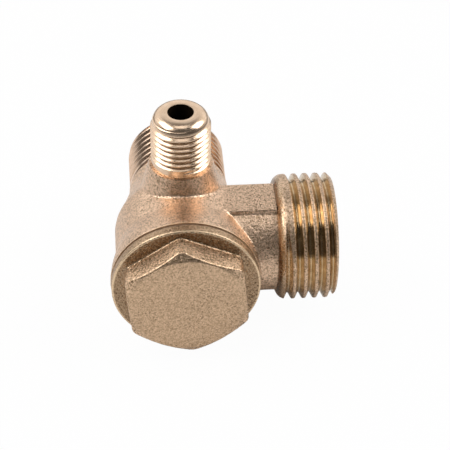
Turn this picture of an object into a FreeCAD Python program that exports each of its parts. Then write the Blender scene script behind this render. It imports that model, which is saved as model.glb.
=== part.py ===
import FreeCAD, Part
import math
import os

# Three-way angle check valve for a compressor tank, all sizes in millimetres.
# The origin is on the tank port's axis, in the plane of its thread shoulder.
# +X points out of the tank port, +Y out of the inlet port, +Z out of the unloader port.

# Barrel, the cast body that lies along Y
tank_shoulder_reach = 16.1
barrel_radius = 11.2
collar_radius = 12.2
collar_start_radius = 11.95
joint_face_y = -9.9
collar_length = 2.5
flare_end_y = -4.2
shoulder_start_y = 2.6
shoulder_end_radius = 10.1
shoulder_end_y = 5.4
rear_neck_radius = 8.4
rear_neck_start_y = 11.0
rear_neck_end_y = 12.8

# Tank port, G 1/2 external
tank_neck_radius = 8.83
tank_shoulder_depth = 0.9
tank_shoulder_round = 1.7
tank_shoulder_round_steps = 3
tank_thread_radius = 10.4775
tank_thread_pitch = 1.814
tank_thread_crest = 0.62
tank_thread_length = 8.87
tank_runout_start = 0.5
tank_runout_angle = 213.0
tank_end_chamfer = 0.7
tank_bore_radius = 6.0
tank_bore_reach = 7.4

# Flat cast pad on the tank neck
pad_height = 8.9
pad_half_width = 3.5

# Inlet port, G 3/8 external
inlet_thread_radius = 8.331
inlet_thread_pitch = 1.337
inlet_thread_crest = 0.42
inlet_end_y = 23.31
inlet_runout_offset = 0.5
inlet_runout_angle = 195.0
inlet_end_chamfer = 0.4
inlet_bore_radius = 4.75
whitworth_half_angle = 27.5

# Unloader port, M10 x 1 external, on a conical cast boss
unloader_y = 3.7
unloader_end_z = 23.85
unloader_thread_radius = 4.9
unloader_thread_pitch = 1.0
unloader_thread_crest = 0.2
unloader_lead_radius = 4.6
unloader_lead_length = 1.95
unloader_nose_round = 1.8
unloader_nose_round_steps = 4
unloader_runout_start_z = 15.0
unloader_runout_angle = 270.0
unloader_bore_radius = 2.1
metric_half_angle = 30.0
boss_top_z = 14.0
boss_top_radius = 5.25
boss_foot_z = 4.0
boss_half_angle = 14.0

# Seat and chamber inside the body
chamber_radius = 8.9
chamber_floor_y = 0.4
seat_lip_height = 1.2
seat_lip_width = 0.8
bonnet_bore_radius = 10.0
bonnet_bore_depth = 4.9
mouth_chamfer = 0.5

# Bonnet, the hexagon cap that closes the chamber
gasket_thickness = 0.4
gasket_outer_radius = 11.85
gasket_inner_clearance = 0.2
flange_radius = 12.1
flange_front_y = -11.81
flange_edge_chamfer = 0.3
hex_across_flats = 19.0
hex_front_y = -16.0
hex_turn = 5.4
hex_corner_round = 1.3
hex_chamfer_radius = 9.3
hex_chamfer_angle = 30.0
skirt_clearance = 0.05
skirt_length = 4.2
pocket_radius = 8.1
pocket_bottom_y = -12.6
guide_tube_radius = 3.6
guide_bore_bottom_y = -14.4
guide_clearance = 0.05

# Poppet and its seal
poppet_lift = 3.0
seal_radius = 6.3
seal_thickness = 2.4
seal_stand_out = 0.3
seat_touch_gap = 0.01
poppet_rim_width = 0.9
poppet_back_thickness = 1.2
poppet_edge_chamfer = 0.3
stem_radius = 2.45
stem_length = 6.6
stem_tip_chamfer = 0.4

# Closing spring
spring_wire_radius = 0.3
spring_coil_radius = 5.2
spring_active_turns = 3.5
spring_closed_rise = 0.7
spring_end_clearance = 0.02
spring_sections_per_turn = 14
spring_section_sides = 6

# The share of a turn in which each groove reaches its full depth
thread_runout_turn = 0.12

# Flat sides round a threaded port, few enough to keep the mesh light
thread_sides = 30
unloader_thread_sides = 22

# Places worked out from the sizes above
barrel_x = -tank_shoulder_reach
flange_back_y = joint_face_y - gasket_thickness
seat_lip_y = chamber_floor_y - seat_lip_height
seal_front_y = seat_lip_y - seat_touch_gap
seal_back_y = seal_front_y - seal_thickness
poppet_front_y = seal_front_y - seal_stand_out
poppet_back_y = seal_back_y - poppet_back_thickness
poppet_radius = seal_radius + poppet_rim_width
guide_tube_end_y = poppet_back_y - poppet_lift
guide_bore_radius = stem_radius + guide_clearance

X_AXIS = FreeCAD.Vector(1, 0, 0)
Y_AXIS = FreeCAD.Vector(0, 1, 0)
Z_AXIS = FreeCAD.Vector(0, 0, 1)
BARREL = FreeCAD.Vector(barrel_x, 0, 0)
UNLOADER = FreeCAD.Vector(barrel_x, unloader_y, 0)


def point(radius, height):
    """A point of a half section: radius from the axis and height along it."""
    return FreeCAD.Vector(radius, 0, height)


def turned_polygon(corners):
    """The solid that a half section with these corners makes when it turns about the local Z axis."""
    closed = [point(*corner) for corner in corners + corners[:1]]
    face = Part.Face(Part.makePolygon(closed))
    return face.revolve(FreeCAD.Vector(0, 0, 0), Z_AXIS, 360)


def rod(radius, low, high):
    return turned_polygon([(0, low), (radius, low), (radius, high), (0, high)])


def stood(shape, direction, base):
    """The shape with its local Z axis laid along direction and its local origin put at base."""
    placed = shape.copy()
    placed.Placement = FreeCAD.Placement(base, FreeCAD.Rotation(Z_AXIS, direction))
    return placed


def faceted(corners, sides, turn=0):
    """The turned solid of a half section, with this many flat sides to keep its mesh light."""
    rings = []
    for radius, height in corners:
        ring = []
        for side in range(sides):
            angle = math.radians(turn + 360 * side / sides)
            ring.append(FreeCAD.Vector(radius * math.cos(angle), radius * math.sin(angle), height))
        rings.append(Part.makePolygon(ring + ring[:1]))
    return Part.makeLoft(rings, True, True)


def thread_groove(radius, pitch, crest, half_angle, centre, share):
    """Lower edge, root and upper edge of a V groove at one place, cut to this share of its full depth."""
    mouth = (pitch - crest) / 2 * share
    depth = mouth / math.tan(math.radians(half_angle))
    return [(radius, centre - mouth), (radius - depth, centre), (radius, centre + mouth)]


def thread_rod(radius, pitch, crest, half_angle, sides, low, start, turn, turns):
    """A long right-hand thread in flat facets, for cutting to length.

    The rod begins at height low. Its groove begins at height start and angle turn, deepens quickly,
    and stops one groove past the whole turns.
    """
    top = start + pitch * (turns + 1)
    columns = []
    for side in range(sides):
        angle = math.radians(turn + 360 * side / sides)
        out = FreeCAD.Vector(math.cos(angle), math.sin(angle), 0)
        grooves = []
        for count in range(turns + (side == 0)):
            along = count + side / sides
            share = min(along / thread_runout_turn, 1)
            sizes = thread_groove(radius, pitch, crest, half_angle, start + pitch * along, share)
            grooves.append([out * reach + Z_AXIS * height for reach, height in sizes])
        columns.append((out * radius + Z_AXIS * low, grooves, out * radius + Z_AXIS * top))
    last_groove = columns[0][1][turns]
    facets = [[column[0] for column in columns], [column[2] for column in columns], last_groove]
    for side in range(sides):
        low_here, here, top_here = columns[side]
        low_there, there, top_there = columns[(side + 1) % sides]
        start_there = []
        if side == sides - 1:
            start_there = [there[0][0]]
            there = there[1:]
        facets.append([low_here, low_there] + start_there + [there[0][0], here[0][0]])
        for count in range(turns):
            edge, root, far_edge = here[count]
            next_edge, next_root, next_far_edge = there[count]
            facets.append([edge, next_edge, next_root])
            facets.append([next_root, next_far_edge, far_edge])
            if side or count:
                facets.append([edge, next_root, root])
                facets.append([root, next_root, far_edge])
            if count < turns - 1:
                facets.append([far_edge, next_far_edge, there[count + 1][0], here[count + 1][0]])
        end_here = [last_groove[2], last_groove[0]] if side == 0 else []
        facets.append([here[turns - 1][2], there[turns - 1][2], top_there, top_here] + end_here)
    return facet_solid(facets)


def threaded_nipple(corners, radius, pitch, crest, half_angle, sides, low, start, turn, high):
    """A threaded port: the part of a long thread that lies inside the turned shape of these corners."""
    turns = math.ceil((high - start) / pitch)
    thread = thread_rod(radius, pitch, crest, half_angle, sides, low, start, turn, turns)
    return thread.common(faceted(corners, sides, turn))


def facet_solid(facets):
    faces = [Part.Face(Part.makePolygon(facet + facet[:1])) for facet in facets]
    solid = Part.Solid(Part.Shell(faces))
    if solid.Volume < 0:
        solid.reverse()
    return solid


def barrel_casting():
    """The cast barrel about Y, from the joint face of the bonnet to the end of the inlet port."""
    corners = [
        (0, joint_face_y),
        (collar_radius, joint_face_y),
        (collar_start_radius, joint_face_y + collar_length),
        (barrel_radius, flare_end_y),
        (barrel_radius, shoulder_start_y),
        (shoulder_end_radius, shoulder_end_y),
        (rear_neck_radius, rear_neck_start_y),
        (rear_neck_radius, rear_neck_end_y),
        (0, rear_neck_end_y),
    ]
    return stood(turned_polygon(corners), Y_AXIS, BARREL)


def inlet_nipple():
    """The threaded end of the barrel, G 3/8."""
    length = inlet_end_y - rear_neck_end_y
    clear_radius = inlet_thread_radius + inlet_end_chamfer
    corners = [
        (clear_radius, -inlet_runout_offset),
        (clear_radius, length - 2 * inlet_end_chamfer),
        (inlet_thread_radius - inlet_end_chamfer, length),
    ]
    nipple = threaded_nipple(
        corners,
        inlet_thread_radius,
        inlet_thread_pitch,
        inlet_thread_crest,
        whitworth_half_angle,
        thread_sides,
        0,
        inlet_runout_offset,
        inlet_runout_angle,
        length,
    )
    return stood(nipple, Y_AXIS, FreeCAD.Vector(barrel_x, rear_neck_end_y, 0))


def stepped_round(centre, radius, first, last, steps):
    """Points along a rounded corner, between two angles in degrees from the radial direction."""
    points = []
    for step in range(steps + 1):
        angle = math.radians(first + (last - first) * step / steps)
        points.append((centre[0] + radius * math.cos(angle), centre[1] + radius * math.sin(angle)))
    return points


def tank_neck():
    return stood(rod(tank_neck_radius, barrel_x, -tank_shoulder_depth), X_AXIS, FreeCAD.Vector(0, 0, 0))


def tank_nipple():
    """The shoulder of the tank port and its threaded end, G 1/2."""
    round_centre = (tank_thread_radius - tank_shoulder_round, tank_shoulder_round - tank_shoulder_depth)
    clear_radius = tank_thread_radius + tank_end_chamfer
    corners = stepped_round(round_centre, tank_shoulder_round, -90, 0, tank_shoulder_round_steps)
    corners += [
        (clear_radius, round_centre[1] + tank_end_chamfer),
        (clear_radius, tank_thread_length - 2 * tank_end_chamfer),
        (tank_thread_radius - tank_end_chamfer, tank_thread_length),
    ]
    nipple = threaded_nipple(
        corners,
        tank_thread_radius,
        tank_thread_pitch,
        tank_thread_crest,
        whitworth_half_angle,
        thread_sides,
        -tank_shoulder_reach,
        tank_runout_start,
        tank_runout_angle,
        tank_thread_length,
    )
    return stood(nipple, X_AXIS, FreeCAD.Vector(0, 0, 0))


def neck_pad():
    """The flat cast pad on top of the tank neck."""
    pad = Part.makeBox(
        tank_shoulder_reach - tank_shoulder_depth,
        2 * pad_half_width,
        pad_height,
        FreeCAD.Vector(barrel_x, -pad_half_width, 0),
    )
    return pad


def unloader_boss():
    """The conical cast boss under the unloader port."""
    spread = (boss_top_z - boss_foot_z) * math.tan(math.radians(boss_half_angle))
    corners = [
        (0, boss_foot_z),
        (boss_top_radius + spread, boss_foot_z),
        (boss_top_radius, boss_top_z),
        (0, boss_top_z),
    ]
    return stood(turned_polygon(corners), Z_AXIS, UNLOADER)


def unloader_nipple():
    """The machined nipple on the boss, M10 x 1, with its rounded nose."""
    nose_centre = (unloader_lead_radius - unloader_nose_round, unloader_end_z - unloader_nose_round)
    thread_end_z = unloader_end_z - unloader_lead_length
    clear_radius = 2 * unloader_thread_radius - unloader_lead_radius
    lead_drop = clear_radius - unloader_lead_radius
    corners = [
        (clear_radius, boss_foot_z),
        (clear_radius, thread_end_z - lead_drop),
        (unloader_lead_radius, thread_end_z),
    ]
    corners += stepped_round(nose_centre, unloader_nose_round, 0, 90, unloader_nose_round_steps)
    nipple = threaded_nipple(
        corners,
        unloader_thread_radius,
        unloader_thread_pitch,
        unloader_thread_crest,
        metric_half_angle,
        unloader_thread_sides,
        boss_top_z,
        unloader_runout_start_z,
        unloader_runout_angle,
        unloader_end_z,
    )
    return stood(nipple, Z_AXIS, UNLOADER)


def barrel_hollow():
    """What is machined out along the barrel: bonnet bore, chamber around the seat lip, and inlet bore."""
    bore_end_y = joint_face_y + bonnet_bore_depth
    lip_radius = inlet_bore_radius + seat_lip_width
    corners = [
        (0, joint_face_y),
        (bonnet_bore_radius, joint_face_y),
        (bonnet_bore_radius, bore_end_y),
        (chamber_radius, bore_end_y),
        (chamber_radius, chamber_floor_y),
        (lip_radius, chamber_floor_y),
        (lip_radius, seat_lip_y),
        (inlet_bore_radius, seat_lip_y),
        (inlet_bore_radius, inlet_end_y - mouth_chamfer),
        (inlet_bore_radius + mouth_chamfer, inlet_end_y),
        (0, inlet_end_y),
    ]
    return stood(turned_polygon(corners), Y_AXIS, BARREL)


def tank_hollow():
    """The tank bore, cored from the port into the side of the chamber, short of the seat lip."""
    start = tank_bore_reach - tank_shoulder_reach
    corners = [
        (0, start),
        (tank_bore_radius, start),
        (tank_bore_radius, tank_thread_length - mouth_chamfer),
        (tank_bore_radius + mouth_chamfer, tank_thread_length),
        (0, tank_thread_length),
    ]
    return stood(turned_polygon(corners), X_AXIS, FreeCAD.Vector(0, 0, 0))


def valve_body():
    body = barrel_casting()
    for piece in (tank_neck(), neck_pad(), unloader_boss(), tank_nipple(), inlet_nipple(), unloader_nipple()):
        body = body.fuse(piece)
    unloader_bore = stood(rod(unloader_bore_radius, 0, unloader_end_z), Z_AXIS, UNLOADER)
    for hollow in (barrel_hollow(), tank_hollow(), unloader_bore):
        body = body.cut(hollow)
    return body


def hexagon(across_flats, low, high, corner_round):
    """An upright hexagon prism with one corner on +Y and its upright edges rounded."""
    reach = across_flats / math.sqrt(3)
    ring = []
    for corner in range(6):
        angle = math.radians(90 + 60 * corner)
        ring.append(FreeCAD.Vector(reach * math.cos(angle), reach * math.sin(angle), low))
    outline = Part.makePolygon(ring + ring[:1])
    prism = Part.Face(outline).extrude(FreeCAD.Vector(0, 0, high - low))
    upright = [edge for edge in prism.Edges if abs(edge.tangentAt(edge.FirstParameter).z) > 0.9]
    return prism.makeFillet(corner_round, upright)


def bonnet_cap():
    """The hexagon cap: flange, head, threaded skirt, spring pocket and the poppet's guide tube."""
    flange_front = -flange_front_y
    flange_back = -flange_back_y
    head_front = -hex_front_y
    pocket_bottom = -pocket_bottom_y
    skirt_radius = bonnet_bore_radius - skirt_clearance
    skirt_end = flange_back - skirt_length
    flange = turned_polygon(
        [
            (0, flange_back),
            (flange_radius, flange_back),
            (flange_radius, flange_front - flange_edge_chamfer),
            (flange_radius - flange_edge_chamfer, flange_front),
            (0, flange_front),
        ]
    )
    head = hexagon(hex_across_flats, flange_back, head_front, hex_corner_round)
    far = hex_across_flats
    chamfer_fall = (far - hex_chamfer_radius) * math.tan(math.radians(hex_chamfer_angle))
    crown = turned_polygon(
        [(0, 0), (far, 0), (far, head_front - chamfer_fall), (hex_chamfer_radius, head_front), (0, head_front)]
    )
    head = head.common(crown)
    skirt = turned_polygon(
        [
            (0, skirt_end),
            (skirt_radius, skirt_end),
            (skirt_radius, flange_back),
            (0, flange_back),
        ]
    )
    cap = flange.fuse(head).fuse(skirt)
    tube_end = -guide_tube_end_y
    pocket = turned_polygon(
        [
            (guide_tube_radius, pocket_bottom),
            (pocket_radius, pocket_bottom),
            (pocket_radius, skirt_end),
            (0, skirt_end),
            (0, tube_end),
            (guide_tube_radius, tube_end),
        ]
    )
    guide_bore = rod(guide_bore_radius, tube_end, -guide_bore_bottom_y)
    cap = cap.cut(pocket).cut(guide_bore)
    cap.rotate(FreeCAD.Vector(0, 0, 0), Z_AXIS, hex_turn)
    return stood(cap, -Y_AXIS, BARREL)


def cap_gasket():
    inner = bonnet_bore_radius + gasket_inner_clearance
    ring = rod(gasket_outer_radius, flange_back_y, joint_face_y).cut(rod(inner, flange_back_y, joint_face_y))
    return stood(ring, Y_AXIS, BARREL)


def poppet():
    """The disc holder with its stem, which slides in the bonnet's guide tube."""
    stem_tip_y = poppet_back_y - stem_length
    corners = [
        (0, stem_tip_y),
        (stem_radius - stem_tip_chamfer, stem_tip_y),
        (stem_radius, stem_tip_y + stem_tip_chamfer),
        (stem_radius, poppet_back_y),
        (poppet_radius - poppet_edge_chamfer, poppet_back_y),
        (poppet_radius, poppet_back_y + poppet_edge_chamfer),
        (poppet_radius, poppet_front_y),
        (seal_radius, poppet_front_y),
        (seal_radius, seal_back_y),
        (0, seal_back_y),
    ]
    return stood(turned_polygon(corners), Y_AXIS, BARREL)


def seal_disc():
    return stood(rod(seal_radius, seal_back_y, seal_front_y), Y_AXIS, BARREL)


def spring_height(turns):
    """How far the wire's centre has risen after this many turns, with a closed turn at each end."""
    rest_length = poppet_back_y - pocket_bottom_y - 2 * spring_end_clearance - 2 * spring_wire_radius
    open_rise = (rest_length - 2 * spring_closed_rise) / spring_active_turns
    first = min(turns, 1) * spring_closed_rise
    middle = min(max(turns - 1, 0), spring_active_turns) * open_rise
    last = max(turns - 1 - spring_active_turns, 0) * spring_closed_rise
    return first + middle + last


def check_spring():
    """A compression spring between the poppet and the pocket's bottom, in flat facets to stay light."""
    total_turns = spring_active_turns + 2
    count = round(total_turns * spring_sections_per_turn)
    low = pocket_bottom_y + spring_end_clearance + spring_wire_radius
    rings = []
    for step in range(count + 1):
        turns = total_turns * step / count
        ring = []
        for side in range(spring_section_sides):
            angle = math.radians(30 + 360 * side / spring_section_sides)
            reach = spring_coil_radius + spring_wire_radius * math.cos(angle)
            height = low + spring_height(turns) + spring_wire_radius * math.sin(angle)
            around = 2 * math.pi * turns
            ring.append(FreeCAD.Vector(reach * math.cos(around), reach * math.sin(around), height))
        rings.append(ring)
    facets = [rings[0], rings[-1][::-1]]
    for here, there in zip(rings, rings[1:]):
        for side in range(spring_section_sides):
            ahead = (side + 1) % spring_section_sides
            facets.append([here[side], there[side], there[ahead]])
            facets.append([here[side], there[ahead], here[ahead]])
    return stood(facet_solid(facets), Y_AXIS, BARREL)


def export_all():
    os.makedirs("parts", exist_ok=True)
    pieces = {
        "valve_body": valve_body(),
        "bonnet_cap": bonnet_cap(),
        "cap_gasket": cap_gasket(),
        "poppet": poppet(),
        "seal_disc": seal_disc(),
        "check_spring": check_spring(),
    }
    for name, shape in pieces.items():
        shape.exportStep("parts/" + name + ".step")
        print(name, "solids", len(shape.Solids), "valid", shape.isValid(), "volume", round(shape.Volume, 2))


export_all()
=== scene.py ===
import math
from collections import namedtuple

import bmesh
import bpy
from mathutils import Matrix, Vector


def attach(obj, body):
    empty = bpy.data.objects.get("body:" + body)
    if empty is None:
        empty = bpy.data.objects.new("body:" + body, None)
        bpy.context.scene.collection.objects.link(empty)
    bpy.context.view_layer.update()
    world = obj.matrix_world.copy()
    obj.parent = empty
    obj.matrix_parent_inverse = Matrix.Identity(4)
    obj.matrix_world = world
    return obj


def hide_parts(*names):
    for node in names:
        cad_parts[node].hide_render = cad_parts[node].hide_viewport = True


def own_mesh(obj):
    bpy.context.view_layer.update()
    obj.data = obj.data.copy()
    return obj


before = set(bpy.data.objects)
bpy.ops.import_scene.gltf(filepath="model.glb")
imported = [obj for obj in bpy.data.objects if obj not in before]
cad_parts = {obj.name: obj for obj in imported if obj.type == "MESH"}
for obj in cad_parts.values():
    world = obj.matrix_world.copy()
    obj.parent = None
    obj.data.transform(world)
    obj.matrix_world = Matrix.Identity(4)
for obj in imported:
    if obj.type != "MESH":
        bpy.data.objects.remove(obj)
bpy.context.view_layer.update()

MM = 0.001

# Three-way angle check valve, sizes in millimetres, in the frame of the CAD model:
# X points out of the tank port, Y out of the inlet port and Z out of the unloader port.

# Casting
barrel_x = -16.1
barrel_radius = 11.2
collar_radius = 12.2
collar_face_y = -9.9
collar_rim_y = -9.4
collar_foot_radius = 11.95
collar_foot_y = -7.4
flare_end_y = -4.2
shoulder_start_y = 2.9
shoulder_end_radius = 10.1
shoulder_end_y = 5.6
rear_neck_radius = 8.46
rear_neck_start_y = 11.0
tank_neck_start_x = -16.0
tank_neck_radius = 8.83
boss_foot_z = 3.0
boss_foot_radius = 7.99
boss_top_radius = 5.25
boss_end_radius = 5.1
pad_start_x = -16.2
pad_height = 8.9
pad_width = 7.0
pad_round = 0.35
casting_voxel = 0.19
relief_size = 1.6
relief_height = 0.07

# What stands past the machined faces before they are cut, and where the boring tools end
collar_stock = 1.1
inlet_stock = 0.8
tank_stock = 1.3
boss_stock = 0.6
barrel_tool_start_y = -11.2
barrel_tool_end_y = 13.8
tank_tool_end_x = 1.0
unloader_tool_end_z = 15.0

# Hollows of the casting
bonnet_bore_radius = 10.0
bonnet_bore_end_y = -5.0
chamber_radius = 8.9
chamber_floor_y = 0.4
chamber_round = 0.4
seat_lip_radius = 5.55
seat_lip_y = -0.8
seat_lip_round = 0.15
inlet_bore_radius = 4.75
tank_bore_radius = 6.0
tank_bore_start_x = -8.7
unloader_bore_radius = 2.1

# Ports, from the foot that stands on the casting to the open end. A ring at the foot, from one radius
# to another, sinks into the casting.
tank_foot_x = -0.9
tank_ring = (6.3, 8.6)
tank_shoulder_round = 1.7
tank_end_x = 8.87
tank_chamfer = 0.7
inlet_foot_y = 12.8
inlet_ring = (5.0, 7.9)
inlet_length = 10.51
inlet_chamfer = 0.4
mouth_chamfer = 0.5
unloader_y = 3.7
unloader_foot_z = 14.0
unloader_ring = (2.3, 4.7)
unloader_lead_z = 21.65
unloader_nose_radius = 4.6
unloader_nose_z = 21.95
unloader_nose_round = 1.75
unloader_end_z = 23.85
ring_depth = 0.3
broken_edge = 0.1

# Threads: a groove starts at this height and angle of its port, and runs on past the port's end
Thread = namedtuple("Thread", "radius pitch crest half_angle root_round crest_round start turn turns steps")
tank_thread = Thread(
    radius=10.4775,
    pitch=1.814,
    crest=0.46,
    half_angle=27.5,
    root_round=0.2,
    crest_round=0.2,
    start=0.5,
    turn=213,
    turns=6,
    steps=240,
)
inlet_thread = Thread(
    radius=8.331,
    pitch=1.337,
    crest=0.34,
    half_angle=27.5,
    root_round=0.15,
    crest_round=0.14,
    start=0.5,
    turn=195,
    turns=9,
    steps=216,
)
unloader_thread = Thread(
    radius=4.9,
    pitch=1.0,
    crest=0.2,
    half_angle=30,
    root_round=0.1,
    crest_round=0.08,
    start=15.0,
    turn=270,
    turns=9,
    steps=180,
)
thread_runout_turn = 0.12
thread_runout_lift = 0.02

# Bonnet, in heights that run from the barrel's origin out through the cap
flange_start = 9.4
flange_radius = 12.1
flange_back = 10.3
flange_front = 11.81
flange_round = 0.25
hex_across_flats = 19.0
hex_start = 10.8
hex_corner = 0.75
hex_front = 16.0
hex_turn = 5.4
crown_start = 10.0
crown_radius = 9.3
crown_angle = 30
crown_reach = 12.0
skirt_radius = 9.95
skirt_end = 6.1
skirt_root = 10.4
pocket_start = 9.0
pocket_radius = 8.1
pocket_bottom = 12.6
pocket_round = 0.5
guide_tube_radius = 3.6
guide_tube_root = 12.8
guide_bore_radius = 2.5
guide_bore_bottom = 14.4
gasket_inner_radius = 10.2
gasket_outer_radius = 12.0
cap_voxel = 0.15

# Closer and spring
poppet_lift = 3.0
stop_gap = 0.02
stem_radius = 2.45
stem_end_y = -11.01
poppet_radius = 7.2
poppet_back_y = -4.41
poppet_front_y = -1.11
seal_radius = 6.3
seal_back_y = -3.21
seal_front_y = -0.81
spring_coil_radius = 5.2
spring_wire_radius = 0.3
spring_start_y = -12.28
spring_closed_rise = 0.7
spring_active_rise = 1.757
spring_active_turns = 3.5

# The axes that round pieces are turned about, and where they stand
TO_TANK = Matrix.Rotation(math.radians(90), 4, "Y")
TO_INLET = Matrix.Rotation(math.radians(-90), 4, "X")
TO_CAP = Matrix.Rotation(math.radians(90), 4, "X")
UPWARDS = Matrix.Identity(4)
TANK = (0.0, 0.0, 0.0)
BARREL = (barrel_x, 0.0, 0.0)
UNLOADER = (barrel_x, unloader_y, 0.0)


# Modelling

def pick_only(piece):
    bpy.ops.object.select_all(action="DESELECT")
    piece.select_set(True)
    bpy.context.view_layer.objects.active = piece


def edit(piece, mode):
    pick_only(piece)
    bpy.ops.object.mode_set(mode="EDIT")
    bpy.ops.mesh.select_mode(type=mode)


def join(piece, *others):
    pick_only(piece)
    for other in others:
        other.select_set(True)
    bpy.ops.object.join()


def finish_with(piece, kind, **settings):
    """Adds a modifier to the piece and applies it."""
    pick_only(piece)
    modifier = piece.modifiers.new(kind.title(), kind)
    for setting, value in settings.items():
        setattr(modifier, setting, value)
    bpy.ops.object.modifier_apply(modifier=modifier.name)


def settle(piece):
    """Merges doubles and turns the faces outwards."""
    edit(piece, "VERT")
    bpy.ops.mesh.select_all(action="SELECT")
    bpy.ops.mesh.remove_doubles(threshold=0.0005 * MM)
    bpy.ops.mesh.dissolve_degenerate(threshold=0.0005 * MM)
    bpy.ops.mesh.normals_make_consistent(inside=False)
    bpy.ops.object.mode_set(mode="OBJECT")


def stand(piece, axis, base):
    """Lays a piece that was made about Z along its own axis, with its place in its mesh."""
    pick_only(piece)
    piece.matrix_world = Matrix.Translation(Vector(base) * MM) @ axis
    bpy.ops.object.transform_apply(location=True, rotation=True, scale=True)
    return piece


def cut_with(piece, operation, *tools):
    for tool in tools:
        finish_with(piece, "BOOLEAN", operation=operation, solver="EXACT", object=tool)
        bpy.data.objects.remove(tool)


def slice_off(piece, point, outward):
    """Machines a flat face: what lies outward of the plane through point goes."""
    edit(piece, "FACE")
    bpy.ops.mesh.select_all(action="SELECT")
    bpy.ops.mesh.bisect(
        plane_co=Vector(point) * MM,
        plane_no=outward,
        use_fill=True,
        clear_outer=True,
        threshold=0.0001 * MM,
    )
    bpy.ops.object.mode_set(mode="OBJECT")


def smooth(piece, degrees):
    pick_only(piece)
    bpy.ops.object.shade_smooth_by_angle(angle=math.radians(degrees))
    return piece


def rounded(corners, segments):
    """Points of an outline in which a corner with a third number gets a round of that radius."""
    points = []
    count = len(corners)
    for index, corner in enumerate(corners):
        here = Vector(corner[:2])
        if len(corner) == 2:
            points.append(here)
            continue
        radius = corner[2]
        before = (Vector(corners[index - 1][:2]) - here).normalized()
        after = (Vector(corners[(index + 1) % count][:2]) - here).normalized()
        half = before.angle(after) / 2
        middle = here + (before + after).normalized() * radius / math.sin(half)
        start = here + before * radius / math.tan(half) - middle
        end = here + after * radius / math.tan(half) - middle
        for step in range(segments + 1):
            spoke = start.normalized().slerp(end.normalized(), step / segments)
            points.append(middle + spoke * radius)
    return points


def drawn(name, points):
    """An outline in the plane of X and Z, drawn point by point. It closes, unless the axis closes it."""
    bpy.ops.object.select_all(action="DESELECT")
    start = Vector((points[0][0], 0, points[0][1])) * MM
    bpy.ops.mesh.primitive_plane_add(size=MM, location=start)
    piece = bpy.context.object
    piece.name = name
    bpy.ops.object.transform_apply(location=True)
    edit(piece, "VERT")
    bpy.ops.mesh.select_all(action="SELECT")
    bpy.ops.mesh.merge(type="CENTER")
    here = start
    on_axis = points[0][0] == 0 and points[-1][0] == 0
    for radius, height in list(points[1:]) + ([] if on_axis else [points[0]]):
        there = Vector((radius, 0, height)) * MM
        bpy.ops.mesh.extrude_region_move(TRANSFORM_OT_translate={"value": there - here})
        here = there
    bpy.ops.mesh.select_all(action="SELECT")
    bpy.ops.mesh.remove_doubles(threshold=0.0001 * MM)
    bpy.ops.object.mode_set(mode="OBJECT")
    return piece


def turned(name, corners, axis, base, steps=192, segments=5):
    """A piece turned on a lathe from its half section of radius and height."""
    piece = drawn(name, rounded(corners, segments))
    edit(piece, "VERT")
    bpy.ops.mesh.select_all(action="SELECT")
    bpy.ops.mesh.spin(steps=steps, angle=math.tau, center=(0, 0, 0), axis=(0, 0, 1))
    bpy.ops.object.mode_set(mode="OBJECT")
    settle(piece)
    return stand(piece, axis, base)


# Threads

def groove_section(thread):
    """The outline of a thread groove with a round root and soft crests, and the groove's depth."""
    half = math.radians(thread.half_angle)
    edge = (thread.pitch - thread.crest) / 2
    hub = thread.radius - edge / math.tan(half) + thread.root_round / math.sin(half)
    soft = thread.crest_round * math.tan((math.pi / 2 - half) / 2)
    side = []
    for share in (0.2, 0.6, 1):
        turn = (math.pi / 2 - half) * share
        side.append((hub - thread.root_round * math.cos(turn), thread.root_round * math.sin(turn)))
    for angle in (90 - thread.half_angle, 40, 14):
        turn = math.radians(angle)
        radius = thread.radius - thread.crest_round + thread.crest_round * math.cos(turn)
        side.append((radius, edge + soft - thread.crest_round * math.sin(turn)))
    for lift, spread in ((0.03, 1.02), (0.1, 1.04)):
        side.append((thread.radius + lift, edge + soft * spread))
    far_side = [(radius, -height) for radius, height in reversed(side)]
    return side + far_side, thread.radius - hub + thread.root_round


def groove_tool(thread):
    """A right-hand thread's groove as one long tool, which plunges in over the run-out's turn."""
    section, depth = groove_section(thread)
    tool = drawn("groove", section)
    finish_with(
        tool,
        "SCREW",
        axis="Z",
        angle=math.tau,
        screw_offset=thread.pitch * MM,
        iterations=thread.turns,
        steps=thread.steps,
        render_steps=thread.steps,
    )
    lifted = depth + thread_runout_lift
    for index, vertex in enumerate(tool.data.vertices):
        share = index // len(section) / thread.steps / thread_runout_turn
        if share < 1:
            out = Vector((vertex.co.x, vertex.co.y, 0)).normalized()
            vertex.co += out * lifted * (1 - share) * MM
    edit(tool, "EDGE")
    bpy.ops.mesh.select_all(action="DESELECT")
    bpy.ops.mesh.select_non_manifold()
    bpy.ops.mesh.fill_holes(sides=0)
    bpy.ops.object.mode_set(mode="OBJECT")
    settle(tool)
    start = Matrix.Translation((0, 0, thread.start * MM))
    tool.data.transform(start @ Matrix.Rotation(math.radians(thread.turn), 4, "Z"))
    return tool


# Valve body: one casting with three machined ports

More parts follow.
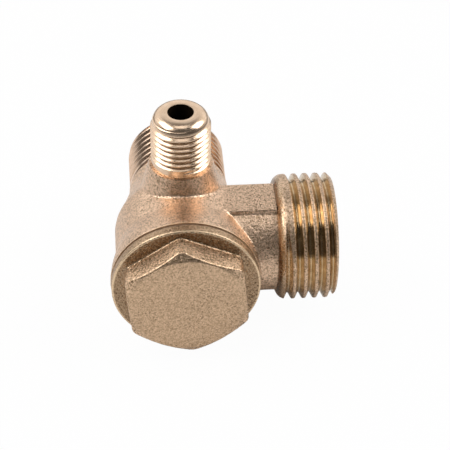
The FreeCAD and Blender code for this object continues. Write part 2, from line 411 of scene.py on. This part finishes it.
def rough_casting():
    """Barrel, neck, boss and pad, grown together with the soft inner corners of a casting."""
    barrel = turned(
        "valve_casting",
        [
            (0, collar_face_y - collar_stock),
            (collar_radius, collar_face_y - collar_stock),
            (collar_radius, collar_rim_y),
            (collar_foot_radius, collar_foot_y, 2),
            (barrel_radius, flare_end_y, 4),
            (barrel_radius, shoulder_start_y, 4),
            (shoulder_end_radius, shoulder_end_y, 4),
            (rear_neck_radius, rear_neck_start_y, 3),
            (rear_neck_radius, inlet_foot_y + inlet_stock),
            (0, inlet_foot_y + inlet_stock),
        ],
        TO_INLET,
        BARREL,
    )
    tank_end = tank_foot_x + tank_stock
    neck = turned(
        "neck",
        [
            (0, tank_neck_start_x),
            (tank_neck_radius, tank_neck_start_x),
            (tank_neck_radius, tank_end),
            (0, tank_end),
        ],
        TO_TANK,
        TANK,
    )
    boss_end = unloader_foot_z + boss_stock
    boss = turned(
        "boss",
        [
            (0, boss_foot_z),
            (boss_foot_radius, boss_foot_z),
            (boss_top_radius, unloader_foot_z),
            (boss_end_radius, boss_end),
            (0, boss_end),
        ],
        UPWARDS,
        UNLOADER,
    )
    join(barrel, neck, boss, neck_pad(tank_end))
    finish_with(barrel, "REMESH", mode="VOXEL", voxel_size=casting_voxel * MM, adaptivity=0)
    finish_with(barrel, "SMOOTH", factor=0.5, iterations=5)
    relief = bpy.data.textures.new("mould_relief", "CLOUDS")
    relief.noise_scale = relief_size * MM
    relief.noise_depth = 2
    finish_with(
        barrel,
        "DISPLACE",
        texture=relief,
        texture_coords="LOCAL",
        strength=relief_height * MM,
        mid_level=0.5,
    )
    return barrel


def neck_pad(end_x):
    """The block whose top is the bare flat pad on the neck."""
    bpy.ops.object.select_all(action="DESELECT")
    bpy.ops.mesh.primitive_cube_add(
        size=MM,
        location=((pad_start_x + end_x) / 2 * MM, 0, pad_height / 2 * MM),
        scale=(end_x - pad_start_x, pad_width, pad_height),
    )
    pad = bpy.context.object
    bpy.ops.object.transform_apply(location=True, rotation=True, scale=True)
    edit(pad, "EDGE")
    bpy.ops.mesh.select_all(action="SELECT")
    bpy.ops.mesh.bevel(offset=pad_round * MM, segments=3, affect="EDGES")
    bpy.ops.object.mode_set(mode="OBJECT")
    return pad


def barrel_hollow():
    """Bonnet bore, chamber with the raised seat lip, and inlet bore."""
    return turned(
        "barrel_hollow",
        [
            (0, barrel_tool_start_y),
            (bonnet_bore_radius, barrel_tool_start_y),
            (bonnet_bore_radius, bonnet_bore_end_y),
            (chamber_radius, bonnet_bore_end_y),
            (chamber_radius, chamber_floor_y, chamber_round),
            (seat_lip_radius, chamber_floor_y),
            (seat_lip_radius, seat_lip_y, seat_lip_round),
            (inlet_bore_radius, seat_lip_y, seat_lip_round),
            (inlet_bore_radius, barrel_tool_end_y),
            (0, barrel_tool_end_y),
        ],
        TO_INLET,
        BARREL,
        steps=128,
        segments=3,
    )


def tank_hollow():
    corners = [
        (0, tank_bore_start_x),
        (tank_bore_radius, tank_bore_start_x, chamber_round),
        (tank_bore_radius, tank_tool_end_x),
        (0, tank_tool_end_x),
    ]
    return turned("tank_hollow", corners, TO_TANK, TANK, steps=128)


def unloader_hollow():
    """It enters the inlet bore behind the seat."""
    corners = [
        (0, 0),
        (unloader_bore_radius, 0),
        (unloader_bore_radius, unloader_tool_end_z),
        (0, unloader_tool_end_z),
    ]
    return turned("unloader_hollow", corners, UPWARDS, UNLOADER, steps=64)


def valve_casting():
    casting = rough_casting()
    slice_off(casting, (barrel_x, collar_face_y, 0), (0, -1, 0))
    slice_off(casting, (barrel_x, inlet_foot_y, 0), (0, 1, 0))
    slice_off(casting, (tank_foot_x, 0, 0), (1, 0, 0))
    slice_off(casting, (barrel_x, unloader_y, unloader_foot_z), (0, 0, 1))
    cut_with(casting, "DIFFERENCE", barrel_hollow(), tank_hollow(), unloader_hollow())
    return smooth(casting, 38)


def port_foot(bore_radius, ring, foot):
    """The start of a port's outline: from the bore across the ring that sinks into the casting."""
    inner, outer = ring
    low = foot - ring_depth
    return [(bore_radius, foot), (inner, foot), (inner, low), (outer, low), (outer, foot)]


def threaded_port(name, corners, thread, axis, base):
    port = turned(name, corners, UPWARDS, TANK, steps=thread.steps)
    cut_with(port, "DIFFERENCE", groove_tool(thread))
    smooth(port, 30)
    return stand(port, axis, base)


def tank_port():
    """The G 1/2 port: rounded shoulder, thread and chamfered end."""
    radius = tank_thread.radius
    corners = port_foot(tank_bore_radius, tank_ring, tank_foot_x) + [
        (radius, tank_foot_x, tank_shoulder_round),
        (radius, tank_end_x - tank_chamfer, broken_edge),
        (radius - tank_chamfer, tank_end_x, broken_edge),
        (tank_bore_radius + mouth_chamfer, tank_end_x, broken_edge),
        (tank_bore_radius, tank_end_x - mouth_chamfer, broken_edge),
    ]
    return threaded_port("tank_port", corners, tank_thread, TO_TANK, TANK)


def inlet_port():
    """The G 3/8 port behind the barrel."""
    radius = inlet_thread.radius
    corners = port_foot(inlet_bore_radius, inlet_ring, 0) + [
        (radius, 0),
        (radius, inlet_length - inlet_chamfer, broken_edge),
        (radius - inlet_chamfer, inlet_length, broken_edge),
        (inlet_bore_radius + mouth_chamfer, inlet_length, broken_edge),
        (inlet_bore_radius, inlet_length - mouth_chamfer, broken_edge),
    ]
    return threaded_port("inlet_port", corners, inlet_thread, TO_INLET, (barrel_x, inlet_foot_y, 0))


def unloader_port():
    """The M10 x 1 nipple with its rounded nose."""
    radius = unloader_thread.radius
    corners = port_foot(unloader_bore_radius, unloader_ring, unloader_foot_z) + [
        (radius, unloader_foot_z, broken_edge),
        (radius, unloader_lead_z, 0.15),
        (unloader_nose_radius, unloader_nose_z, broken_edge),
        (unloader_nose_radius, unloader_end_z, unloader_nose_round),
        (unloader_bore_radius, unloader_end_z, 0.06),
    ]
    return threaded_port("unloader_port", corners, unloader_thread, UPWARDS, UNLOADER)


# Bonnet: a hexagon cap with its gasket

def hexagon_head():
    """The head before it is rounded: six flats, cut back at the corners by a cone."""
    bpy.ops.object.select_all(action="DESELECT")
    bpy.ops.mesh.primitive_cylinder_add(
        vertices=6,
        radius=hex_across_flats / math.sqrt(3) * MM,
        depth=(hex_front - hex_start) * MM,
        location=(0, 0, (hex_front + hex_start) / 2 * MM),
    )
    head = bpy.context.object
    head.name = "cap_head"
    bpy.ops.object.transform_apply(location=True)
    edit(head, "EDGE")
    bpy.ops.mesh.select_all(action="DESELECT")
    mesh = bmesh.from_edit_mesh(head.data)
    for edge in mesh.edges:
        edge.select = abs(edge.verts[0].co.z - edge.verts[1].co.z) > MM
    bmesh.update_edit_mesh(head.data)
    bpy.ops.mesh.bevel(offset=hex_corner * MM, segments=4, affect="EDGES")
    bpy.ops.object.mode_set(mode="OBJECT")
    fall = (crown_reach - crown_radius) * math.tan(math.radians(crown_angle))
    crown = [
        (0, crown_start),
        (crown_reach, crown_start),
        (crown_reach, hex_front - fall),
        (crown_radius, hex_front),
        (0, hex_front),
    ]
    cut_with(head, "INTERSECT", turned("crown", crown, UPWARDS, TANK))
    return head


def bonnet_cap():
    head = hexagon_head()
    flange = [
        (0, flange_start),
        (flange_radius, flange_start),
        (flange_radius, flange_front, flange_round),
        (0, flange_front),
    ]
    join(head, turned("flange", flange, UPWARDS, TANK))
    head.data.transform(Matrix.Rotation(math.radians(hex_turn), 4, "Z"))
    finish_with(head, "REMESH", mode="VOXEL", voxel_size=cap_voxel * MM, adaptivity=0)
    finish_with(head, "SMOOTH", factor=0.5, iterations=3)
    slice_off(head, (0, 0, flange_back), (0, 0, -1))
    pocket = [
        (0, pocket_start),
        (pocket_radius, pocket_start),
        (pocket_radius, pocket_bottom, pocket_round),
        (0, pocket_bottom),
    ]
    guide = [
        (0, pocket_start),
        (guide_bore_radius, pocket_start),
        (guide_bore_radius, guide_bore_bottom),
        (0, guide_bore_bottom),
    ]
    cut_with(
        head,
        "DIFFERENCE",
        turned("pocket", pocket, UPWARDS, TANK, steps=128),
        turned("guide", guide, UPWARDS, TANK, steps=64),
    )
    smooth(head, 38)
    return stand(head, TO_CAP, BARREL)


def cap_skirt():
    """The part of the cap that goes into the body."""
    corners = [
        (pocket_radius, skirt_end, 0.2),
        (skirt_radius, skirt_end, 0.4),
        (skirt_radius, skirt_root),
        (pocket_radius, skirt_root),
    ]
    return smooth(turned("cap_skirt", corners, TO_CAP, BARREL), 35)


def poppet_guide():
    """The tube in which the stem slides. The poppet's back stops just short of its end."""
    end = poppet_lift - poppet_back_y + stop_gap
    corners = [
        (guide_bore_radius, end, 0.15),
        (guide_tube_radius, end, 0.25),
        (guide_tube_radius, guide_tube_root),
        (guide_bore_radius, guide_tube_root),
    ]
    return smooth(turned("poppet_guide", corners, TO_CAP, BARREL), 35)


def cap_gasket():
    corners = [
        (gasket_inner_radius, -flange_back),
        (gasket_outer_radius, -flange_back, 0.1),
        (gasket_outer_radius, collar_face_y, 0.1),
        (gasket_inner_radius, collar_face_y),
    ]
    return smooth(turned("gasket_ring", corners, TO_INLET, BARREL, segments=4), 35)


# Closer: poppet, seal and spring

def poppet():
    """Stem and disc, with a recess that holds the seal."""
    corners = [
        (0, stem_end_y),
        (stem_radius, stem_end_y, 0.4),
        (stem_radius, poppet_back_y, 0.1),
        (poppet_radius, poppet_back_y, 0.3),
        (poppet_radius, poppet_front_y, 0.12),
        (seal_radius, poppet_front_y),
        (seal_radius, seal_back_y),
        (0, seal_back_y),
    ]
    return smooth(turned("poppet_turned", corners, TO_INLET, BARREL), 35)


def seal_disc():
    corners = [
        (0, seal_back_y),
        (seal_radius, seal_back_y),
        (seal_radius, seal_front_y, 0.2),
        (0, seal_front_y),
    ]
    return smooth(turned("seal_moulded", corners, TO_INLET, BARREL), 35)


def spring_height(turns):
    """How far the wire's centre line has risen after this many turns, with a closed turn at each end."""
    active = min(max(turns - 1, 0), spring_active_turns)
    closed = min(turns, 1) + max(turns - 1 - spring_active_turns, 0)
    return spring_closed_rise * closed + spring_active_rise * active


def check_spring():
    """Round wire on the curve of its own centre line."""
    bpy.ops.object.select_all(action="DESELECT")
    bpy.ops.curve.primitive_nurbs_path_add(radius=MM, location=(0, 0, 0))
    wire = bpy.context.object
    wire.name = "spring_wire"
    curve = wire.data
    curve.splines.remove(curve.splines[0])
    line = curve.splines.new("POLY")
    steps_per_turn = 48
    steps = round((2 + spring_active_turns) * steps_per_turn)
    line.points.add(steps)
    for step in range(steps + 1):
        turns = step / steps_per_turn
        angle = math.tau * turns
        x = spring_coil_radius * math.cos(angle)
        y = spring_coil_radius * math.sin(angle)
        line.points[step].co = (x * MM, y * MM, (spring_start_y + spring_height(turns)) * MM, 1)
    curve.bevel_depth = spring_wire_radius * MM
    curve.bevel_resolution = 4
    curve.use_fill_caps = True
    bpy.ops.object.convert(target="MESH")
    spring = bpy.context.object
    settle(spring)
    smooth(spring, 60)
    return stand(spring, TO_INLET, BARREL)


# Materials

class Value:
    """A number that changes over the surface. Sums and products of values add Math nodes."""

    def __init__(self, nodes, socket):
        self.nodes = nodes
        self.socket = socket

    def joined(self, operation, first, second):
        node = self.nodes.node("ShaderNodeMath", {"operation": operation}, {0: first, 1: second})
        return Value(self.nodes, node.outputs[0])

    def __add__(self, other):
        return self.joined("ADD", self, other)

    def __radd__(self, other):
        return self.joined("ADD", other, self)

    def __sub__(self, other):
        return self.joined("SUBTRACT", self, other)

    def __rsub__(self, other):
        return self.joined("SUBTRACT", other, self)

    def __mul__(self, other):
        return self.joined("MULTIPLY", self, other)

    def __rmul__(self, other):
        return self.joined("MULTIPLY", other, self)


class Nodes:
    """A node tree, and the few ways in which its nodes are made."""

    def __init__(self, tree):
        self.tree = tree

    def node(self, kind, settings, sockets):
        node = self.tree.nodes.new(kind)
        for setting, value in settings.items():
            setattr(node, setting, value)
        for socket, value in sockets.items():
            self.put(value, node.inputs[socket])
        return node

    def put(self, value, target):
        """Links a value or an output to a socket, or sets the socket to a constant."""
        if isinstance(value, Value):
            self.tree.links.new(value.socket, target)
        elif isinstance(value, bpy.types.NodeSocket):
            self.tree.links.new(value, target)
        else:
            target.default_value = value

    def ramp(self, value, low, high, start=0.0, end=1.0):
        """A value stretched so that low becomes start and high becomes end, and held there beyond."""
        sockets = {"Value": value, "From Min": low, "From Max": high, "To Min": start, "To Max": end}
        return Value(self, self.node("ShaderNodeMapRange", {"clamp": True}, sockets).outputs["Result"])


class Finish(Nodes):
    """A material, whose sizes and places are in millimetres."""

    def __init__(self, name, **constants):
        self.material = bpy.data.materials.new(name)
        self.material.use_nodes = True
        super().__init__(self.material.node_tree)
        self.surface = self.tree.nodes["Principled BSDF"]
        self.feed(**constants)
        self.place = self.node("ShaderNodeTexCoord", {}, {}).outputs["Object"]

    def noise(self, size, detail=2, roughness=0.5, place=None):
        """Soft noise whose spots are about this size across."""
        sockets = {
            "Vector": place or self.place,
            "Scale": 1 / (size * MM),
            "Detail": detail,
            "Roughness": roughness,
        }
        return Value(self, self.node("ShaderNodeTexNoise", {}, sockets).outputs["Fac"])

    def mix(self, share, first, second):
        return self.node("ShaderNodeMix", {"data_type": "RGBA"}, {0: share, 6: first, 7: second}).outputs[2]

    def vector(self, operation, *values):
        return self.node("ShaderNodeVectorMath", {"operation": operation}, dict(enumerate(values)))

    def reach(self, axis, centre):
        """How far a point lies from the line through centre along an axis."""
        across = [0 if name == axis else 1 for name in "XYZ"]
        offset = self.vector("SUBTRACT", self.place, Vector(centre) * MM)
        flat = self.vector("MULTIPLY", offset.outputs[0], across)
        return Value(self, self.vector("LENGTH", flat.outputs[0]).outputs["Value"]) * (1 / MM)

    def along(self, axis):
        """The place along an axis."""
        split = self.node("ShaderNodeSeparateXYZ", {}, {0: self.place})
        return Value(self, split.outputs[axis]) * (1 / MM)

    def lathe_marks(self, axis, centre):
        """Fine rings that a turning tool leaves, on faces as well as round the piece."""
        sockets = {"X": self.reach(axis, centre) * MM, "Y": self.along(axis) * MM}
        return self.noise(0.14, place=self.node("ShaderNodeCombineXYZ", {}, sockets).outputs[0])

    def bump(self, height, distance):
        """A bump whose full height is this distance."""
        sockets = {"Height": height, "Strength": 1.0, "Distance": distance * MM}
        return self.node("ShaderNodeBump", {}, sockets).outputs["Normal"]

    def feed(self, **inputs):
        for socket, value in inputs.items():
            self.put(value, self.surface.inputs[socket.replace("_", " ")])
        return self.material


blasted_relief = 0.13
turned_relief = 0.1
turned_gloss = 0.16
# A pale brass for painted highlights on the front edges of the collar and the flange
highlight_brass = (0.98, 0.73, 0.48, 1)
# A dark brown for painted shade on the cap's hexagon front and flange face
shaded_brass = (0.2, 0.13, 0.07, 1)
pit_colour = (0.14, 0.085, 0.04, 1)
# A dark brown for painted shade in the crease at the tank port's foot
crease_shade = (0.17, 0.1, 0.05, 1)
# A brown for painted shade in the roots of the inlet thread
root_shade = (0.24, 0.14, 0.065, 1)
# Near black for painted shade inside the nipple's bore
bore_shade = (0.03, 0.02, 0.012, 1)


def sandy(brass, light, dark, pit_share, depth):
    """Colour, roughness and height of a shot-blasted surface: a sandy grain with clustered dark pits.

    depth says how strong the grain is, as a number or a value.
    """
    flecks = brass.noise(0.24, detail=1)
    grain = brass.noise(0.42, roughness=0.6) * 0.6 + flecks * 0.4
    tone = brass.noise(4)
    clusters = brass.noise(5.5, detail=1)
    pits = brass.ramp(brass.noise(0.34, roughness=0.7) + clusters * 0.2, pit_share, pit_share + 0.06)
    speckle = brass.ramp(flecks, 0.36, 0.64) - 0.5
    sand = 0.65 + (brass.ramp(grain, 0.38, 0.62) - 0.55 + speckle * 0.5) * depth + (tone - 0.5) * 0.25
    colour = brass.mix(pits * 0.75 * depth, brass.mix(sand, dark, light), pit_colour)
    rough = brass.ramp(grain + pits * 0.25, 0.35, 0.75, 0.29, 0.45)
    return colour, rough, (grain - pits * 0.3) * depth


def casting_brass():
    """The casting's surface, coarser on the neck, with a painted highlight on the edge of the collar."""
    brass = Finish("cast_brass", Metallic=1.0)
    neck = brass.ramp(brass.along("X"), -9, -5, 0, 0.4)
    colour, rough, height = sandy(brass, (0.93, 0.67, 0.48, 1), (0.52, 0.355, 0.23, 1), 0.69, 1 + neck)
    # Painted highlight: a thin pale line on the collar's front edge
    at_face = brass.ramp(brass.along("Y"), collar_face_y + 0.15, collar_face_y + 0.28, 1, 0)
    edge = at_face * brass.ramp(brass.reach("Y", BARREL), collar_radius - 0.4, collar_radius - 0.2)
    colour = brass.mix(edge * 0.6, colour, highlight_brass)
    return brass.feed(Base_Color=colour, Roughness=rough, Normal=brass.bump(height, blasted_relief))


def cap_head_brass():
    """The cap's surface: smoother on the hexagon's front, with painted shade on that front and on the
    flange's face, and a painted highlight on the flange's edge.
    """
    brass = Finish("stamped_brass", Metallic=1.0)
    along = brass.along("Y")
    reach = brass.reach("Y", BARREL)
    front = brass.ramp(along, 0.1 - hex_front, 0.4 - hex_front, 1, 0)
    flange = brass.ramp(along, -0.29 - flange_front, -0.04 - flange_front)
    rim = brass.ramp(reach, flange_radius - 0.2, flange_radius - 0.1)
    at_face = brass.ramp(along, 0.15 - flange_front, 0.31 - flange_front, 1, 0)
    edge = at_face * brass.ramp(reach, flange_radius - 0.42, flange_radius - 0.26)
    light, dark = (0.96, 0.68, 0.455, 1), (0.46, 0.305, 0.18, 1)
    colour, rough, height = sandy(brass, light, dark, 0.69, 1.15 - front * 0.5)
    # Painted shade: the hexagon's front and the flange's face are mixed towards dark brown, the flange's rim
    # less so
    colour = brass.mix(front * 0.28 + flange * 0.66 - rim * 0.2, colour, shaded_brass)
    # Painted highlight: a thin pale line on the flange's front edge
    colour = brass.mix(edge * 0.8, colour, highlight_brass)
    rough = rough - flange * 0.1 + rim * 0.1
    return brass.feed(Base_Color=colour, Roughness=rough, Normal=brass.bump(height, blasted_relief))


def freshly_turned(brass, light, dark, gloss, axis, centre):
    """Colour, roughness and height of brass turned about the line through centre along an axis."""
    tone = brass.noise(1.2, detail=3)
    marks = brass.lathe_marks(axis, centre)
    colour = brass.mix(brass.ramp(tone * 0.6 + marks * 0.4, 0.35, 0.65), dark, light)
    rough = brass.ramp(marks + tone * 0.5, 0.5, 1.0, gloss, gloss + 0.14)
    return colour, rough, marks * 0.06


def nipple_brass():
    """Machined brass, with painted shade inside the narrow bore."""
    brass = Finish("nipple_brass", Metallic=1.0)
    light, dark = (0.93, 0.7, 0.51, 1), (0.76, 0.545, 0.375, 1)
    colour, rough, height = freshly_turned(brass, light, dark, turned_gloss, "Z", UNLOADER)
    wall = unloader_bore_radius
    # Painted shade: near black inside the bore
    bore = brass.ramp(brass.reach("Z", UNLOADER), wall + 0.01, wall + 0.06, 1, 0)
    colour = brass.mix(bore, colour, bore_shade)
    rough = rough + bore * 0.4
    return brass.feed(Base_Color=colour, Roughness=rough, Normal=brass.bump(height, turned_relief))


def inner_brass():
    """Machined brass of the pieces inside the valve."""
    brass = Finish("inner_brass", Metallic=1.0)
    light, dark = (0.84, 0.61, 0.42, 1), (0.6, 0.41, 0.26, 1)
    colour, rough, height = freshly_turned(brass, light, dark, turned_gloss, "Y", BARREL)
    return brass.feed(Base_Color=colour, Roughness=rough, Normal=brass.bump(height, turned_relief))


def inlet_port_brass():
    """Machined brass, with painted shade in the roots of the thread."""
    brass = Finish("inlet_thread_brass", Metallic=1.0)
    light, dark = (0.97, 0.7, 0.52, 1), (0.7, 0.48, 0.33, 1)
    colour, rough, height = freshly_turned(brass, light, dark, turned_gloss, "Y", BARREL)
    thread_end = inlet_foot_y + inlet_length - inlet_chamfer
    thread = brass.ramp(brass.along("Y"), thread_end - 0.01, thread_end + 0.19, 1, 0)
    # Painted shade: darker towards the roots of the thread
    roots = brass.ramp(brass.reach("Y", BARREL), 7.55, 8.2, 0.85, 0) * thread
    colour = brass.mix(roots, colour, root_shade)
    return brass.feed(Base_Color=colour, Roughness=rough, Normal=brass.bump(height, turned_relief))


def tank_port_brass():
    """Bright grooves, and the blasted skin of the blank on the shoulder, the crests and the chamfer."""
    brass = Finish("tank_thread_brass", Metallic=1.0)
    light, dark = (0.74, 0.57, 0.37, 1), (0.48, 0.33, 0.18, 1)
    cut, cut_rough, cut_height = freshly_turned(brass, light, dark, 0.07, "X", TANK)
    sand, sand_rough, sand_height = sandy(brass, (0.88, 0.64, 0.45, 1), (0.4, 0.26, 0.15, 1), 0.67, 0.85)
    along = brass.along("X")
    reach = brass.reach("X", TANK)
    crests = brass.ramp(reach, 10.25, 10.33)
    shoulder = brass.ramp(along, 0.7, 1.0, 0.6, 0)
    chamfer = brass.ramp(along, 8.05, 8.2, 0, 0.9) * brass.ramp(reach, 9.6, 9.75)
    skin = brass.ramp(crests + shoulder + chamfer, 0, 1)
    # Painted shade in the crease where the port's shoulder meets the casting
    foot = brass.ramp(along, tank_foot_x + 0.15, tank_foot_x + 0.8, 0.75, 0)
    return brass.feed(
        Base_Color=brass.mix(foot, brass.mix(skin, cut, sand), crease_shade),
        Roughness=cut_rough + (sand_rough - cut_rough) * skin,
        Normal=brass.bump(cut_height + (sand_height - cut_height) * skin, turned_relief),
    )


def rubber(name, colour, worn):
    finish = Finish(name, Metallic=0.0)
    speckle = finish.noise(0.3, detail=3)
    return finish.feed(
        Base_Color=finish.mix(finish.ramp(speckle, 0.4, 0.7), colour, worn),
        Roughness=finish.ramp(speckle, 0.3, 0.7, 0.5, 0.72),
        Normal=finish.bump(speckle, 0.01),
    )


def spring_steel():
    steel = Finish("spring_steel", Metallic=1.0)
    drawn_lines = steel.noise(0.4)
    return steel.feed(
        Base_Color=steel.mix(drawn_lines, (0.42, 0.42, 0.41, 1), (0.68, 0.68, 0.66, 1)),
        Roughness=steel.ramp(drawn_lines, 0.3, 0.7, 0.22, 0.4),
        Normal=steel.bump(drawn_lines, 0.004),
    )


# Assembly

def fit(piece, material, body, node):
    """Gives a piece its material and its body, and hides the CAD node that it stands for."""
    piece.data.materials.clear()
    piece.data.materials.append(material)
    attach(piece, body)
    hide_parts(node)
    return piece


fit(valve_casting(), casting_brass(), "valve", "valve_body")
fit(tank_port(), tank_port_brass(), "valve", "valve_body")
fit(inlet_port(), inlet_port_brass(), "valve", "valve_body")
fit(unloader_port(), nipple_brass(), "valve", "valve_body")

turned_brass = inner_brass()
fit(bonnet_cap(), cap_head_brass(), "valve", "bonnet_cap")
fit(cap_skirt(), turned_brass, "valve", "bonnet_cap")
fit(poppet_guide(), turned_brass, "valve", "bonnet_cap")
gasket_fibre = rubber("gasket_fibre", (0.13, 0.075, 0.04, 1), (0.3, 0.19, 0.12, 1))
fit(cap_gasket(), gasket_fibre, "valve", "cap_gasket")

fit(poppet(), turned_brass, "closer", "poppet")
seal_rubber = rubber("seal_rubber", (0.018, 0.018, 0.02, 1), (0.05, 0.05, 0.05, 1))
fit(seal_disc(), seal_rubber, "closer", "seal_disc")
spring = fit(check_spring(), spring_steel(), "valve", "check_spring")
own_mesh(spring)


# Stage, light and camera

floor_z = -12.35
floor_width = 3000
camera_place = (-26.182, -200.56, 175.132)
camera_azimuth = -4.891
camera_elevation = 40.536
camera_roll = 0.942
camera_lens = 127.54
lamp_aim = (-12, 0, 0)


def studio_floor():
    """White to the camera. What the metal mirrors is a painted pool of light: bright near the valve and dark
    beyond.
    """
    bpy.ops.object.select_all(action="DESELECT")
    bpy.ops.mesh.primitive_plane_add(size=floor_width * MM, location=(0, 0, floor_z * MM))
    floor = bpy.context.object
    floor.name = "floor"
    bpy.ops.object.transform_apply(location=True)
    paper = Finish("floor_paper", Roughness=0.9)
    table = paper.mix(paper.noise(40), (0.78, 0.78, 0.78, 1), (0.84, 0.84, 0.84, 1))
    # Painted pool of light: the floor's colour turns dark from 100 mm to 170 mm out from the valve
    beyond = paper.ramp(paper.reach("Z", BARREL), 100, 170)
    paper.feed(Base_Color=paper.mix(beyond, table, (0.12, 0.12, 0.12, 1)))
    rays = paper.node("ShaderNodeLightPath", {}, {})
    camera_ray = Value(paper, rays.outputs["Is Camera Ray"])
    mirrored_ray = Value(paper, rays.outputs["Is Glossy Ray"])
    seen = camera_ray * 0.97 + mirrored_ray * 0.05
    glow = paper.node("ShaderNodeEmission", {}, {"Color": (1, 1, 1, 1), "Strength": 1.0})
    blend = paper.node("ShaderNodeMixShader", {}, {0: seen, 1: paper.surface.outputs[0], 2: glow.outputs[0]})
    paper.put(blend.outputs[0], paper.tree.nodes["Material Output"].inputs["Surface"])
    floor.data.materials.append(paper.material)


def studio_world():
    """White to the camera. The metal mirrors a pale backdrop, low behind, and a dark room elsewhere."""
    world = bpy.data.worlds.new("studio")
    world.use_nodes = True
    bpy.context.scene.world = world
    room = Nodes(world.node_tree)
    direction = room.node("ShaderNodeTexCoord", {}, {}).outputs["Generated"]
    split = room.node("ShaderNodeSeparateXYZ", {}, {0: direction})
    behind = room.ramp(Value(room, split.outputs["Y"]), -0.3, 0.5, 0.1, 0.95)
    low = room.ramp(Value(room, split.outputs["Z"]), 0.55, 0.85, 1.0, 0.3)
    camera_ray = room.node("ShaderNodeLightPath", {}, {}).outputs["Is Camera Ray"]
    strength = room.node("ShaderNodeMath", {"operation": "MAXIMUM"}, {0: camera_ray, 1: behind * low})
    back = room.tree.nodes["Background"]
    room.put((1, 1, 1, 1), back.inputs["Color"])
    room.put(strength.outputs[0], back.inputs["Strength"])


def soft_box(name, place, width, height, power):
    """A rectangular lamp that is turned to the valve."""
    bpy.ops.object.light_add(type="AREA", location=Vector(place) * MM)
    lamp = bpy.context.object
    lamp.name = name
    lamp.data.shape = "RECTANGLE"
    lamp.data.size = width * MM
    lamp.data.size_y = height * MM
    lamp.data.energy = power
    aim = Vector(lamp_aim) - Vector(place)
    lamp.rotation_euler = aim.to_track_quat("-Z", "Y").to_euler()


def camera():
    """The camera as solved from the threads and the hexagon in the photograph."""
    azimuth = math.radians(camera_azimuth)
    elevation = math.radians(camera_elevation)
    roll = math.radians(camera_roll)
    back = Vector(
        (
            math.sin(azimuth) * math.cos(elevation),
            -math.cos(azimuth) * math.cos(elevation),
            math.sin(elevation),
        )
    )
    level = Vector((math.cos(azimuth), math.sin(azimuth), 0))
    upright = back.cross(level)
    right = level * math.cos(roll) + upright * math.sin(roll)
    up = upright * math.cos(roll) - level * math.sin(roll)
    turn = Matrix((right, up, back)).transposed().to_4x4()
    bpy.ops.object.camera_add()
    eye = bpy.context.object
    eye.name = "camera"
    eye.data.lens = camera_lens
    eye.data.sensor_width = 36
    eye.data.clip_start = 10 * MM
    eye.data.clip_end = 10000 * MM
    eye.matrix_world = Matrix.Translation(Vector(camera_place) * MM) @ turn
    bpy.context.scene.camera = eye


studio_floor()
studio_world()
soft_box("light_above", (-12, -80, 580), width=300, height=300, power=0.35)
soft_box("light_left", (-380, -30, 400), width=500, height=340, power=1.8)
soft_box("light_right", (400, 0, 360), width=360, height=360, power=1.5)
camera()

bpy.context.scene.view_settings.view_transform = "Standard"
